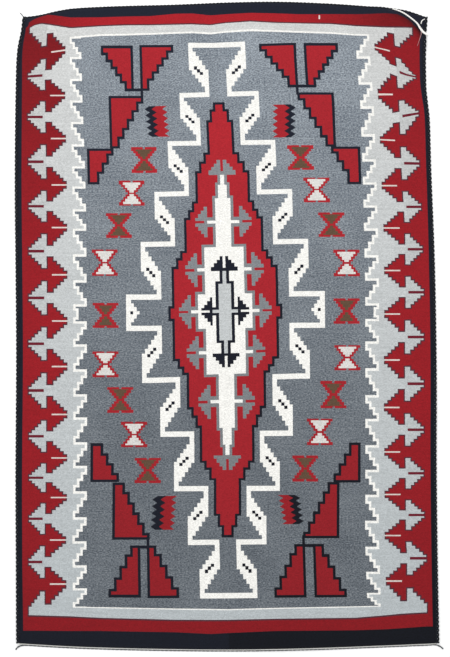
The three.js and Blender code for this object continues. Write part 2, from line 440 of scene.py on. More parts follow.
# %% Counts for arrows and teeth
ARROW_NUMBERS = [-6.5, -6, -5, -4, -3, -2, -1, 0, 1, 2, 3, 4, 5, 5.5, 6, 6.5]
ARROW_HEIGHTS = {
    "left": [-285, -258.5, -214.5, -172, -132.5, -89, -41, 4.5, 50.7, 98, 140.5, 187, 230,
             250.5, 273.2, 298],
    "right": [-281.5, -255.5, -210, -169, -126.5, -82, -34.5, 11.5, 55, 97.5, 139.8, 185, 231,
              256.5, 274, 298],
}
ARROW_TILTS = {
    "left": {"heights": [200, 230, 251, 273, 290], "slopes": [0.0, 0.0, -0.08, -0.13, -0.1]},
    "right": {
        "heights": [150, 185, 209, 231, 243, 252, 262, 274, 290],
        "slopes": [0.0, -0.06, 0.22, 0.0, -0.16, -0.45, -0.38, -0.26, -0.2],
    },
}
TILT_FROM = 175
TOOTH_HEIGHTS = {
    "left": {
        "lower": [3, -20, -45, -70, -93, -118, -141.5, -167, -193, -217, -241, -264, -282],
        "upper": [20, 44, 70, 96, 115, 138, 158, 180, 202.5, 224, 245.5, 267.5, 287.5],
    },
    "right": {
        "lower": [5.5, -17, -44, -71, -94.5, -121, -145.5, -170.5, -196.5, -222.5, -247.5, -268.5, -282],
        "upper": [21, 46, 69, 96, 119, 142, 165, 190, 218, 242, 268, 291.5],
    },
}
MIDDLE_TOOTH = -0.36


def tooth_count(side):
    """Teeth counted from the middle of the rug towards both ends."""
    lower, upper = TOOTH_HEIGHTS[side]["lower"], TOOTH_HEIGHTS[side]["upper"]
    heights = [*reversed(lower), (lower[0] + upper[0]) / 2, *upper]
    counts = [*reversed(range(len(lower))), MIDDLE_TOOTH, *range(len(upper))]
    return np.interp(squares_y, heights, counts)


def arrow_count(side):
    """Arrows counted up the side. Near the top corners they were beaten in aslant."""
    tilt = np.interp(squares_y, ARROW_TILTS[side]["heights"], ARROW_TILTS[side]["slopes"])
    heights = squares_y - tilt * (np.abs(chart_x) - TILT_FROM)
    return np.interp(heights, ARROW_HEIGHTS[side], ARROW_NUMBERS)


arrows = np.where(on_left, arrow_count("left"), arrow_count("right"))
teeth = np.where(on_left, tooth_count("left"), tooth_count("right"))

# %% Width of the selvage stripe
STRIPE = {
    "left": {
        "heights": [-320, -240, 0, 200, 250, 275, 300],
        "widths": [5.3, 4.5, 4.9, 4.8, 4.3, 3.5, 2.5],
    },
    "right": {
        "heights": [-320, 60, 140, 218, 232, 245, 270, 300],
        "widths": [4.3, 4.1, 3.1, 3.1, 3.5, 4.3, 4.5, 4.8],
    },
}
left_x = edge["left"].at(share_along)[:, 0] / SQUARE
right_x = edge["right"].at(share_along)[:, 0] / SQUARE
stripe_share = np.where(
    on_left,
    (squares_x - left_x) / np.interp(squares_y, STRIPE["left"]["heights"], STRIPE["left"]["widths"]),
    (right_x - squares_x)
    / np.interp(squares_y, STRIPE["right"]["heights"], STRIPE["right"]["widths"]),
)

# %% Write the measures on the cloth


def add_measure(mesh, name, first, second, third):
    """Keeps three numbers for each point of a mesh."""
    layer = mesh.attributes.new(name, "FLOAT_VECTOR", "POINT")
    layer.data.foreach_set("vector", np.column_stack([first, second, third]).ravel())


add_measure(cloth_mesh, "chart", chart_x, chart_y, np.where(on_left, 0.0, 1.0))
add_measure(cloth_mesh, "border", arrows, teeth, stripe_share)
past_fold = beyond_fold(plan) / SQUARE
add_measure(cloth_mesh, "fold", past_fold, past_fold, past_fold)
print("measures", [layer.name for layer in cloth_mesh.attributes])

# %% [markdown]
# ## Numbers in a material
# A material is a net of small nodes. The pattern needs several hundred, so the sums are
# written as sums: a Value is one socket, and each operator on it adds the node that does it.
# A test such as x < 3 gives 1 where it is true and 0 elsewhere. Two tests multiplied are
# "both", and the larger of two is "either".

# %% A socket that can be reckoned with


class Value:
    def __init__(self, recipe, socket):
        self.recipe = recipe
        self.socket = socket

    def reckon(self, operation, *others):
        return self.recipe.math(operation, self, *others)

    def __add__(self, other):
        return self.reckon("ADD", other)

    def __radd__(self, other):
        return self.reckon("ADD", other)

    def __sub__(self, other):
        return self.reckon("SUBTRACT", other)

    def __rsub__(self, other):
        return self.recipe.math("SUBTRACT", other, self)

    def __mul__(self, other):
        return self.reckon("MULTIPLY", other)

    def __rmul__(self, other):
        return self.reckon("MULTIPLY", other)

    def __truediv__(self, other):
        return self.reckon("DIVIDE", other)

    def __lt__(self, other):
        return self.reckon("LESS_THAN", other)

    def __gt__(self, other):
        return self.reckon("GREATER_THAN", other)

    def __or__(self, other):
        return self.reckon("MAXIMUM", other)

    def __abs__(self):
        return self.reckon("ABSOLUTE")

    def floor(self):
        return self.reckon("FLOOR")

    def fraction(self):
        return self.reckon("FRACT")

    def at_least(self, other):
        return self.reckon("MAXIMUM", other)

    def at_most(self, other):
        return self.reckon("MINIMUM", other)

    def swing(self, reach):
        """Runs up to reach and back down, over and over."""
        return self.reckon("PINGPONG", reach)


# %% [markdown]
# A Recipe is one material. It has a single way to add a node: its type, its settings and
# what goes into its sockets. Every recipe ends in a rough, slightly furry wool shader.

# %% One way to add a node
WOOL_ROUGHNESS = 0.92
WOOL_SHEEN = 0.03
SHEEN_ROUGHNESS = 0.6
WOOL_SHINE = 0.15
RELIEF_STRENGTH = 0.8
MIX_A, MIX_B, MIX_COLOUR = 6, 7, 2


class Recipe:
    def __init__(self, name):
        self.material = bpy.data.materials.new(name)
        self.material.use_nodes = True
        self.tree = self.material.node_tree
        self.tree.nodes.clear()
        self.ground = None

    def node(self, kind, settings=None, inputs=None):
        """Adds a node: first its settings, then a value or a link for each socket."""
        node = self.tree.nodes.new(kind)
        for name, value in (settings or {}).items():
            setattr(node, name, value)
        for socket, value in (inputs or {}).items():
            if isinstance(value, Value):
                self.tree.links.new(value.socket, node.inputs[socket])
            else:
                node.inputs[socket].default_value = value
        return node

    def math(self, operation, *values):
        node = self.node("ShaderNodeMath", {"operation": operation}, dict(enumerate(values)))
        return Value(self, node.outputs[0])

    def measure(self, name):
        """The three numbers that a mesh keeps under a name."""
        kept = self.node("ShaderNodeAttribute", {"attribute_name": name})
        return self.parts(Value(self, kept.outputs["Vector"]))

    def parts(self, vector):
        split = self.node("ShaderNodeSeparateXYZ", inputs={0: vector})
        return [Value(self, output) for output in split.outputs]

    def vector(self, x, y, z=0):
        joined = self.node("ShaderNodeCombineXYZ", inputs={0: x, 1: y, 2: z})
        return Value(self, joined.outputs[0])

    def noise(self, place, scale, detail=2):
        inputs = {"Vector": place, "Scale": scale, "Detail": detail}
        cloud = self.node("ShaderNodeTexNoise", inputs=inputs)
        return Value(self, cloud.outputs["Fac"])

    def chance(self, place):
        """One random number for each place."""
        dice = self.node("ShaderNodeTexWhiteNoise", {"noise_dimensions": "3D"}, {"Vector": place})
        return Value(self, dice.outputs["Value"])

    def paint(self, ground, mask, colour):
        """Lays a colour over the ground where the mask is 1."""
        inputs = {0: mask, MIX_A: ground, MIX_B: colour}
        mix = self.node("ShaderNodeMix", {"data_type": "RGBA"}, inputs)
        return Value(self, mix.outputs[MIX_COLOUR])

    def lay(self, mask, colour):
        """Paints over all that this recipe has laid so far."""
        self.ground = self.paint(self.ground, mask, colour)

    def shade(self, colour, strength):
        """Makes a colour darker or lighter by a number that varies."""
        inputs = {0: 1.0, MIX_A: colour, MIX_B: self.vector(strength, strength, strength)}
        settings = {"data_type": "RGBA", "blend_type": "MULTIPLY"}
        mix = self.node("ShaderNodeMix", settings, inputs)
        return Value(self, mix.outputs[MIX_COLOUR])

    def wool(self, colour, height, depth):
        """Ends the recipe: rough wool of this colour, with a relief of this depth."""
        relief = self.node(
            "ShaderNodeBump", inputs={"Strength": RELIEF_STRENGTH, "Distance": depth, "Height": height}
        )
        shader = self.node(
            "ShaderNodeBsdfPrincipled",
            inputs={
                "Base Color": colour,
                "Roughness": WOOL_ROUGHNESS,
                "Sheen Weight": WOOL_SHEEN,
                "Sheen Roughness": SHEEN_ROUGHNESS,
                "Specular IOR Level": WOOL_SHINE,
                "Normal": Value(self, relief.outputs["Normal"]),
            },
        )
        output = self.node("ShaderNodeOutputMaterial")
        self.tree.links.new(shader.outputs[0], output.inputs["Surface"])
        return self.material


# %% [markdown]
# ## Dyes
# The wool is seen under the room's light, which is a little stronger than the picture's
# white, so each dye is given as it looks and turned down by the same share.

# %% Dyes
EXPOSURE = 1.28


def dye(red, green, blue):
    """A colour from how it looks, on a scale to 255, to the light that the wool gives back."""
    linear = []
    for part in (red, green, blue):
        share = part / 255
        light = share / 12.92 if share <= 0.04045 else ((share + 0.055) / 1.055) ** 2.4
        linear.append(light / EXPOSURE)
    return (*linear, 1.0)


BLACK = dye(24, 28, 41)
RED = dye(154, 25, 34)
FIELD_RED = dye(178, 36, 46)
WHITE = dye(258, 257, 252)
LINT = dye(226, 214, 208)
PALE_GREY = dye(207, 208, 207)
PALE_GREY_LOW = dye(188, 195, 198)
PALE_FILL = dye(226, 224, 220)
DARK_GREY = dye(98, 107, 118)
MID_GREY = dye(170, 178, 185)
FEATHER_GREY = dye(140, 144, 148)
BROWN = dye(100, 78, 60)
SLIT_RED = dye(112, 28, 44)
SHADE_BROWN = dye(88, 46, 56)
print("red gives back", [round(part, 3) for part in RED])

# %% [markdown]
# ## Shapes on the chart
# All motifs are stepped, because a weaver turns back by whole threads. So two helpers make
# nearly everything: one counts the steps that a distance has passed, and one draws an
# arrowhead with a flat back. Growing a shape by the width of a line and laying it under the
# shape gives it an outline.

# %% Steps, ranges and arrowheads


def drops(distance, first, run, most):
    """How many steps a distance has passed: one at first, then one every run."""
    return ((distance - first) / run + 1).floor().at_least(0).at_most(most)


def within(value, low, high):
    return (value > low) * (value < high)


def arrowhead(ahead, aside, head, grow=0.0):
    """A stepped arrowhead. ahead counts from its flat back, aside from its middle line."""
    steps = drops(aside, head["first"] + grow, head["run"], head["most"])
    tip = head["length"] + grow - head["drop"] * steps
    return within(ahead, -grow, tip) * (aside < head["half"] + grow)


def wedge(ahead, aside, corner, shrink=0.0):
    """A stepped triangle with a straight back. ahead counts from its wide end."""
    steps = drops(ahead, corner["first"] - shrink, corner["run"], corner["most"])
    far = corner["width"] - shrink - corner["drop"] * steps
    return within(aside, shrink, far) * within(ahead, shrink, corner["height"] - shrink)


def profile(distance, levels):
    """A width that changes by steps: each level holds from its distance on."""
    width = levels[0]["half"]
    for before, level in zip(levels, levels[1:]):
        width = width + (distance > level["beyond"]) * (level["half"] - before["half"])
    return width


# %% [markdown]
# ## The rug's colours
# The ground comes first and each motif is laid over it, from the border to the middle. The
# chart mirrors about both middle lines, so the shapes are drawn once, in one quarter.

# %% The chart's place, row by row
PICK = 0.52
WANDER = 0.3

rug = Recipe("patterned_wool")
raw_x, raw_y, rightness = rug.measure("chart")
arrow_number, tooth_number, stripe = rug.measure("border")
pick = (raw_y / PICK).floor()
wander = (rug.chance(rug.vector(pick, 0.0)) - 0.5) * WANDER
x = abs(raw_x + wander)
even_y = (pick + 0.5) * PICK
y = abs(even_y)
right = rightness > 0.5
upper = raw_y > 0.0


def by_half(up, down):
    """One number for the upper half of the rug and another for the lower."""
    return upper * (up - down) + down


def by_quarter(up_left, up_right, down_left, down_right):
    """One number for each quarter of the rug."""
    left = by_half(up_left, down_left)
    return left + right * (by_half(up_right, down_right) - left)


# %% [markdown]
# Carded grey wool is black and white fleece brushed together, so it is never even: short
# streaks along the weft. The other dyes vary less, from one hank of yarn to the next. Most
# colours are also painted lighter towards the far end and darker towards the near end, as
# painted light and shade.

# %% Heathered greys, and painted light and shade along the rug
FLECK_ACROSS = 0.55
FLECK_ALONG = 0.95
STREAK_ACROSS = 0.03
STREAK_ALONG = 0.4
GLOW_MIDDLE = -22
GLOW_REACH = 150
GLOW_FADE = 55

fleck = rug.noise(rug.vector(raw_x * FLECK_ACROSS, raw_y * FLECK_ALONG), 1.0, 3)
cloud = rug.noise(rug.vector(raw_x, raw_y), 0.02, 2)
height = ((raw_y + RED_ROW) / (2 * RED_ROW)).at_least(0).at_most(1)
streak = rug.noise(rug.vector(raw_x * STREAK_ACROSS, raw_y * STREAK_ALONG), 1.0, 2)
heather = (fleck - 0.5) * 2.8 + (cloud - 0.5) * 0.5 + (streak - 0.5) * 0.5 + 0.45
heather = heather.at_least(0).at_most(1)
dark_ground = rug.paint(DARK_GREY, heather, MID_GREY)
# Painted light and shade: the dark ground is darker towards the near end and lighter towards the far
# end, a little more so on the right.
painted_light_falloff = 0.62 + (height - 0.3).at_least(0) * 0.62 + right * height * 0.06
dark_ground = rug.shade(dark_ground, painted_light_falloff)
# Painted light and shade: the pale ground is a darker grey at the near end and a lighter one at the far
# end, and the feathers' pale carries that too. The streaks are the wool's own. The feathers' pale is
# also made darker towards the far end.
pale_ground = rug.paint(PALE_GREY_LOW, height, PALE_GREY)
pale_ground = rug.shade(pale_ground, 1.04 + (streak - 0.5) * 0.3)
feather_pale = rug.shade(pale_ground, 1.0 - height * 0.12)
# Painted light and shade: the white is darker towards the far end, painted shade that evens out the
# lamp's stronger light there. Black, both reds and the feather grey are darker towards the near end.
# Black is darker still at the near right, and the corner triangles' red is painted darker than the
# field's red, as painted shade towards the corners. The flecks are the wool's own.
white = rug.shade(WHITE, 1.0 - height * 0.08)
black = rug.shade(BLACK, 0.8 + height * 0.4 - right * (1 - height) * 0.35 + (fleck - 0.5))
field_red = rug.shade(FIELD_RED, 0.78 + height * 0.28)
corner_red = rug.shade(FIELD_RED, 0.66 + height * 0.28)
feather_grey = rug.shade(FEATHER_GREY, 0.74 + height * 0.3 + (fleck - 0.5) * 0.5)

# %% The border's red, with painted light and shade along its length
# Painted shade: the border's red is darker towards both ends of the rug. It is also darker in the upper
# half of the left side, and its streaks are the wool's own.
from_waist = height * 2 - 1
left_shade = (1 - right) * from_waist.at_least(0) * 0.26
border_light = 1.03 - from_waist * from_waist * 0.2 - left_shade + (streak - 0.5) * 0.2
border_red = rug.shade(RED, border_light)
# Painted light and shade: the red band along the far end is lighter in its middle and darker towards its
# corners.
end_glow = ((GLOW_REACH - abs(raw_x - GLOW_MIDDLE)) / GLOW_FADE).at_most(1).at_least(-0.8)
end_red = rug.shade(RED, 0.9 + end_glow * 0.36)

# %% [markdown]
# ### Borders
# From the outside in: a black frame, a red field with grey feathers, and a pale field with
# red arrows. Feathers and arrows fit into each other back to back, each split by a slit. A
# white saw-toothed line closes the pale field.

# %% Red field, pale field and teeth
BACK_LINE = 179.0
ARROW_PITCH = 44.2
TOOTH_TIP = 139.5
TOOTH_TIP_LEFT = 2.6
TOOTH_STEP = 3.75
TOOTH_STEPS = 4
TOOTH_THICK = 0.05
LINE_HALF = 1.2
FRAME_LINE_UP = 1.15
FRAME_LINE_DOWN = 0.6
BUMP_FROM = -0.17
BUMP_DEPTH = 0.8
SHADOW_LINE = 1.3

rug.ground = rug.paint(border_red, raw_y > GREY_ROW, end_red)
rug.lay((x < BACK_LINE) * (y < GREY_ROW + SHADOW_LINE), SHADE_BROWN)
rug.lay((x < BACK_LINE) * (y < GREY_ROW), pale_ground)

far_left = (1 - right) * upper * (height - 0.65).at_least(0) * TOOTH_TIP_LEFT
tooth_tip = far_left * 3 + right * 0.7 + TOOTH_TIP
tooth_step = TOOTH_STEP - far_left * 0.6


def teeth_edge(number):
    """How far out the toothed line stands at a tooth number."""
    steps = (number.fraction() * TOOTH_STEPS).floor()
    steps = steps.at_least((number < 0) * (TOOTH_STEPS - 1)) - (number < BUMP_FROM) * BUMP_DEPTH
    return tooth_tip + steps * tooth_step


before_edge = teeth_edge(tooth_number - TOOTH_THICK)
after_edge = teeth_edge(tooth_number + TOOTH_THICK)
outer_line = before_edge.at_least(after_edge) + LINE_HALF
inner_line = before_edge.at_most(after_edge) - LINE_HALF
frame_line = by_half(FRAME_LINE_UP, FRAME_LINE_DOWN)
rug.lay((x < outer_line) * (y - frame_line < LINE_ROW), white)
rug.lay((x < inner_line) * (y + frame_line < LINE_ROW), dark_ground)

# %% Feathers and arrows
FEATHER = {"length": 17.6, "half": 15.7, "first": 3.0, "run": 3.0, "drop": 3.2, "most": 4}
ARROW = {"length": 21.2, "half": 17.3, "first": 4.0, "run": 3.1, "drop": 3.5, "most": 4}
FEATHER_SLIT = {"from": 2.4, "half": 1.35, "last_arrow": 6.2}
ARROWS_IN_ALL = 100.0
ARROW_SLIT = {"to": 173.6, "half": 0.7}
TRUNK_HALF = 5.3

from_arrow = arrow_number.swing(0.5) * ARROW_PITCH
from_feather = ARROW_PITCH / 2 - from_arrow
outward = x - BACK_LINE
shadow = arrowhead(outward, from_feather, FEATHER, SHADOW_LINE) * (outward > 0)
rug.lay(shadow * (y < GREY_ROW + SHADOW_LINE), SHADE_BROWN)
feather = (outward > 0) * arrowhead(outward, from_feather, FEATHER, 0.01)
rug.lay(feather * (y < GREY_ROW), feather_pale)
slit = within(outward, FEATHER_SLIT["from"], FEATHER["length"] + SHADOW_LINE)
slit = slit * (from_feather < FEATHER_SLIT["half"])
slit = slit * (arrow_number.swing(ARROWS_IN_ALL) < FEATHER_SLIT["last_arrow"])
rug.lay(slit, SLIT_RED)
inward = BACK_LINE - x
rug.lay(arrowhead(inward, from_arrow, ARROW), SHADE_BROWN)
rug.lay(arrowhead(inward, from_arrow, ARROW, -SHADOW_LINE), border_red)
trunk = within(inward, -SHADOW_LINE, SHADOW_LINE * 2) * (from_arrow < TRUNK_HALF)
rug.lay(trunk, border_red)
slit = within(x, BACK_LINE - ARROW["length"], ARROW_SLIT["to"]) * (from_arrow < ARROW_SLIT["half"])
rug.lay(slit, LINT)

# %% Black frame, painted shade at the fold, and the flap beyond it
FOLD_SHADE = 11.0
FLAP_FROM = 4.3
FOLD_DARKEST = 0.85
LINT_SPOT = {"x": 103.3, "y": 315.3, "half_x": 0.75, "half_y": 2.6}

past_fold, _, _ = rug.measure("fold")
# Painted shade: the cloth is darkened more and more towards the fold, where it bends away from the
# light.
near_fold = (1 + (past_fold - FLAP_FROM) / FOLD_SHADE).at_least(0).at_most(1)
rug.ground = rug.shade(rug.ground, 1 - near_fold * near_fold * FOLD_DARKEST)
rug.lay((stripe < 1.0) | (y > RED_ROW) | (past_fold > FLAP_FROM), black)
lint = abs(raw_x - LINT_SPOT["x"]) < LINT_SPOT["half_x"]
lint = lint * (abs(raw_y - LINT_SPOT["y"]) < LINT_SPOT["half_y"])
rug.lay(lint, LINT)

# %% [markdown]
# ### Corner motifs
# Four stepped red triangles hang together in each corner of the field, outlined in black.
# Each has a straight back towards its neighbour.

# %% Stepped triangles
OUTLINE = 2.7
TRIANGLES = {
    "outer": {"side": 1, "back": (86.7, 87.0, 85.8, 86.0), "end": (282.7, 282.7, 284.2, 285.5),
              "width": (33.4, 34.0, 31.6, 32.8), "height": (47.5, 47.5, 51.8, 53.0),
              "first": (10.0, 8.8), "run": (7.3, 11.4), "drop": (4.75, 5.4), "most": (5, 4)},
    "inner": {"side": -1, "back": (79.9, 79.5, 79.5, 78.0), "end": (283.3, 282.9, 284.8, 285.5),
              "width": (35.4, 36.8, 30.8, 32.4), "height": (47.9, 47.7, 52.4, 53.0),
              "first": (8.2, 10.6), "run": (7.3, 11.2), "drop": (5.2, 5.35), "most": (5, 4)},
    "long": {"side": -1, "back": (113.0, 113.8, 113.2, 112.9), "end": (230.6, 230.0, 226.6, 226.6),
             "width": (35.8, 36.0, 36.8, 36.6), "height": (60.0, 59.5, 57.2, 57.2),
             "first": (9.0, 6.8), "run": (10.1, 10.2), "drop": (5.1, 4.9), "most": (5, 5)},
    "short": {"side": -1, "back": (136.6, 137.5, 135.0, 134.2), "end": (170.7, 170.7, 168.9, 170.0),
              "width": (27.2, 29.0, 28.2, 27.4), "height": (39.2, 42.3, 39.2, 40.2),
              "first": (8.0, 9.4), "run": (9.9, 9.8), "drop": (5.0, 5.2), "most": (3, 3)},
}
TIE_FOOT = (235.2, 232.6)
LINK_FOOT = (227.4, 223.8)

backs = {}
for name, triangle in TRIANGLES.items():
    backs[name] = by_quarter(*triangle["back"])
    end = by_quarter(*triangle["end"])
    corner = {part: by_quarter(*triangle[part]) for part in ("width", "height")}
    corner.update({part: by_half(*triangle[part]) for part in ("first", "run", "drop", "most")})
    aside = (x - backs[name]) * triangle["side"]
    rug.lay(wedge(end - y, aside, corner), black)
    rug.lay(wedge(end - y, aside, corner, OUTLINE), corner_red)
foot = by_half(*TIE_FOOT)
tie = within(x, backs["inner"] - OUTLINE, backs["outer"] + OUTLINE)
rug.lay(tie * within(y, foot, foot + OUTLINE), black)
link = within(x, backs["inner"] - OUTLINE, backs["inner"])
rug.lay(link * within(y, by_half(*LINK_FOOT), foot + 1), black)

# %% [markdown]
# ### Small motifs
# Between the corners and the middle float a zigzag patch and a row of hourglasses. The
# patch's zigzag is a plain triangle wave, since its threads turn back one by one.

# %% Zigzag patch
PATCH_TEETH = 5
PATCH = {
    "low": (183.4, 180.8, 183.2, 182.6), "high": (218.4, 216.6, 217.0, 212.0),
    "lean": (0.07, 0.05, 0.06, 0.16), "outer": (70.5, 70.1, 70.0, 70.3),
    "middle": (63.2, 63.8, 61.7, 62.8), "inner": (52.2, 52.2, 51.0, 53.0),
}
PATCH_TOOTH = 5.0

patch = {name: by_quarter(*numbers) for name, numbers in PATCH.items()}
tooth_length = (patch["high"] - patch["low"]) / PATCH_TEETH
zigzag = ((y - patch["low"]) / tooth_length).swing(0.5) * (PATCH_TOOTH * 2)
leaning = x - (y - (patch["low"] + patch["high"]) / 2) * patch["lean"] - zigzag
in_patch = within(y, patch["low"], patch["high"])
patch_black = within(leaning, patch["middle"], patch["outer"]) * in_patch
rug.lay(patch_black, black)
patch_red = within(leaning, patch["inner"], patch["middle"]) * in_patch
rug.lay(patch_red, corner_red)

# %% Hourglasses: across from the middle line, and up or down on each side
HOURGLASSES = [
    {"left": 119.5, "right": 120.5, "up": (-2.6, -1.5), "down": (-2.6, -1.5), "pale": False,
     "half": (12.5, 12.5)},
    {"left": 119.9, "right": 121.1, "up": (49.1, 45.7), "down": (-51.1, -48.5), "pale": True,
     "half": (12.9, 12.8)},
    {"left": 105.4, "right": 107.0, "up": (87.3, 84.8), "down": (-86.4, -84.6), "pale": False,
     "half": (13.2, 12.8)},
    {"left": 91.9, "right": 93.1, "up": (122.0, 122.4), "down": (-120.9, -119.7), "pale": True,
     "half": (13.5, 12.8)},
    {"left": 78.6, "right": 78.3, "up": (158.1, 158.3), "down": (-157.1, -156.0), "pale": False,
     "half": (13.9, 12.8)},
]
GLASS = {"waist": 4.1, "step": 2.2, "first": 1.4, "run": 2.8, "most": 4}
GLASS_LINE = {True: 1.9, False: 2.4}
NOTCH = {"half": 1.1, "depth": 1.8}

for glass in HOURGLASSES:
    glass_half = by_half(*glass["half"])
    line = GLASS_LINE[glass["pale"]]
    left_place = by_half(glass["up"][0], glass["down"][0])
    right_place = by_half(glass["up"][1], glass["down"][1])
    place = left_place + right * (right_place - left_place)
    upward = abs(even_y - place)
    sideways = abs(x - (right * (glass["right"] - glass["left"]) + glass["left"]))
    wide = GLASS["waist"] + drops(upward, GLASS["first"], GLASS["run"], GLASS["most"]) * GLASS["step"]
    notch = (sideways < NOTCH["half"]) * (upward > glass_half - NOTCH["depth"])
    whole = (sideways < wide) * (upward < glass_half) * (1 - notch)
    rug.lay(whole, field_red)
    inner = GLASS["waist"] - line
    inner = inner + drops(upward, GLASS["first"] + line, GLASS["run"], GLASS["most"]) * GLASS["step"]
    fill = (sideways < inner) * within(upward, line / 2, glass_half - line)
    rug.lay(fill, PALE_FILL if glass["pale"] else BROWN)

# %% [markdown]
# ### The white lightning
# A white band climbs from the waist of the rug to its ends in five bolts. Each bolt starts
# under a bar, runs straight, crosses over by five small steps and ends on the next bar.

# %% Lightning
BARS = [15.5, 67.0, 120.5, 175.5, 230.0, 283.0]
BAR_HALF = 2.6
BOLTS = [
    {"up": 83.6, "down": 83.6}, {"up": 68.9, "down": 66.0}, {"up": 54.0, "down": 52.7},
    {"up": 39.9, "down": 39.1}, {"up": 29.0, "down": 28.4},
]
BOLT_WIDTH = 20.0
BOLT_STEP = 3.1
BOLT_STEPS = 5
BOLT_OUTER = {"first": 26.7, "run": 4.4}
BOLT_INSIDE = {"first": 7.1, "run": 4.7}
WAIST = {"outer": 99.0, "inner": 94.0, "step": 2.8, "first": 1.8, "run": 3.7, "steps": 3}
DOT_HALF = 1.6
WAIST_DOT = {"x": 93.4, "half": 1.4}
DOT_PLACE = (10.2, 27.4)
DOT_STEP = (-3.0, 3.1)

bolt_ends = [by_half(bolt["up"], bolt["down"]) for bolt in BOLTS]
bolt = bolt_ends[0]
next_bar = y * 0.0 + BARS[1]
for low_bar, high_bar, before, after in zip(BARS[1:], BARS[2:], bolt_ends, bolt_ends[1:]):
    above = y > low_bar
    bolt = bolt + above * (after - before)
    next_bar = next_bar + above * (high_bar - low_bar)
below = next_bar - y
from_bolt = x - bolt + BOLT_WIDTH
outer = BOLT_WIDTH - drops(below, **BOLT_OUTER, most=BOLT_STEPS) * BOLT_STEP
inner = BOLT_STEP * BOLT_STEPS - drops(below, **BOLT_INSIDE, most=BOLT_STEPS) * BOLT_STEP
bolts = (from_bolt > inner) * (from_bolt < outer) * within(y, BARS[0], BARS[-1])
rug.lay(bolts, white)
bar_starts = [end - BOLT_WIDTH for end in bolt_ends] + [-1.0]
bar_ends = [WAIST["outer"], *bolt_ends]
for bar, start, end in zip(BARS, bar_starts, bar_ends):
    on_bar = within(y, bar - BAR_HALF, bar + BAR_HALF) * within(x, start, end)
    rug.lay(on_bar, white)
for dot in (-1, 0, 1):
    dot_x = abs(from_bolt - (DOT_PLACE[0] + DOT_STEP[0] * dot))
    dot_y = abs(below - (DOT_PLACE[1] + DOT_STEP[1] * dot))
    dots = (dot_x < DOT_HALF) * (dot_y < DOT_HALF) * (y > BARS[0])
    rug.lay(dots, black)
waist_inner = WAIST["inner"] - WAIST["step"] * WAIST["steps"]
waist_inner = waist_inner + drops(y, WAIST["first"], WAIST["run"], WAIST["steps"]) * WAIST["step"]
at_waist = (x > waist_inner) * (x < WAIST["outer"]) * (y < BARS[0])
rug.lay(at_waist, white)
waist_dot = (abs(x - WAIST_DOT["x"]) < WAIST_DOT["half"]) * (y < WAIST_DOT["half"])
rug.lay(waist_dot, black)

# %% [markdown]
# ### The middle
# A tall red lozenge in a black outline holds a white spire with arms, and feathers sit on
# the arms' ends. A small grey bar with four black arrowheads is the heart of the rug.

# %% Lozenge
LOZENGE = [
    {"up": 0, "down": 0, "half": 56.8}, {"up": 6.3, "down": 8.6, "half": 53.0},
    {"up": 44.6, "down": 49, "half": 48.3}, {"up": 53, "down": 56.5, "half": 44},
    {"up": 60, "down": 63, "half": 39.5}, {"up": 94.5, "down": 96.5, "half": 35.3},
    {"up": 103, "down": 105, "half": 31.3}, {"up": 112, "down": 115, "half": 27.3},
    {"up": 145, "down": 150, "half": 23}, {"up": 155.5, "down": 157, "half": 18.1},
    {"up": 165.5, "down": 167.6, "half": 13.6}, {"up": 201, "down": 203.5, "half": 9.8},
    {"up": 213, "down": 215, "half": 6}, {"up": 221, "down": 225, "half": -5},
]
LOZENGE_LINE = 2.5

lozenge_levels = [
    {"beyond": by_half(level["up"], level["down"]), "half": level["half"]} for level in LOZENGE
]
rug.lay(x < profile(y, lozenge_levels), black)
inside = x + LOZENGE_LINE < profile(y + LOZENGE_LINE, lozenge_levels)
rug.lay(inside, field_red)

# %% Spire, arms and feathers
SPIRE = [
    {"beyond": 0, "half": 27}, {"beyond": 17, "half": 19.6}, {"beyond": 63, "half": 7.7},
    {"beyond": 115, "half": 4.4}, {"beyond": 129.5, "half": 2.0}, {"beyond": 140.3, "half": -9},
]
SPIRE_LINE = 2.7
ARMS = [{"y": 0.0, "end": 34.0}, {"y": 41.0, "end": 27.0}, {"y": 89.5, "end": 16.0}]
ARM_HALF = 1.7
ARM_SLEEVE = 5.2
SIDE_HEAD = {"length": 12.1, "half": 16.4, "first": 4.8, "run": 3.9, "drop": 2.9, "most": 3}
END_HEAD = {"length": 14.9, "half": 13.5, "first": 4.9, "run": 2.9, "drop": 3.8, "most": 3}
HEAD_SLIT = {"from": 3.0, "half": 1.3}
END_ARM = 140.5
UPPER_END_LENGTH = 16.4
LOWER_STRETCH = {"from": 125.0, "by": 1.8}

spire_y = y - (1 - upper) * (y > LOWER_STRETCH["from"]) * LOWER_STRETCH["by"]
near_spire = x - SPIRE_LINE < profile(spire_y - SPIRE_LINE, SPIRE)
rug.lay(near_spire, feather_grey)
for arm in ARMS:
    aside = abs(y - arm["y"])
    ahead = x - arm["end"]
    rug.lay((aside < ARM_SLEEVE) * (ahead < 0), feather_grey)
    rug.lay(arrowhead(ahead, aside, SIDE_HEAD), feather_grey)
    slit = within(ahead, HEAD_SLIT["from"], SIDE_HEAD["length"]) * (aside < HEAD_SLIT["half"])
    rug.lay(slit, field_red)
ahead = spire_y - END_ARM
end_head = {**END_HEAD, "length": by_half(UPPER_END_LENGTH, END_HEAD["length"])}
rug.lay(arrowhead(ahead, x, end_head), feather_grey)
slit = within(ahead, HEAD_SLIT["from"] + 1, UPPER_END_LENGTH) * (x < HEAD_SLIT["half"])
rug.lay(slit, field_red)
rug.lay(x < profile(spire_y, SPIRE), white)
for arm in ARMS:
    on_arm = (abs(y - arm["y"]) < ARM_HALF) * (x < arm["end"])
    rug.lay(on_arm, white)

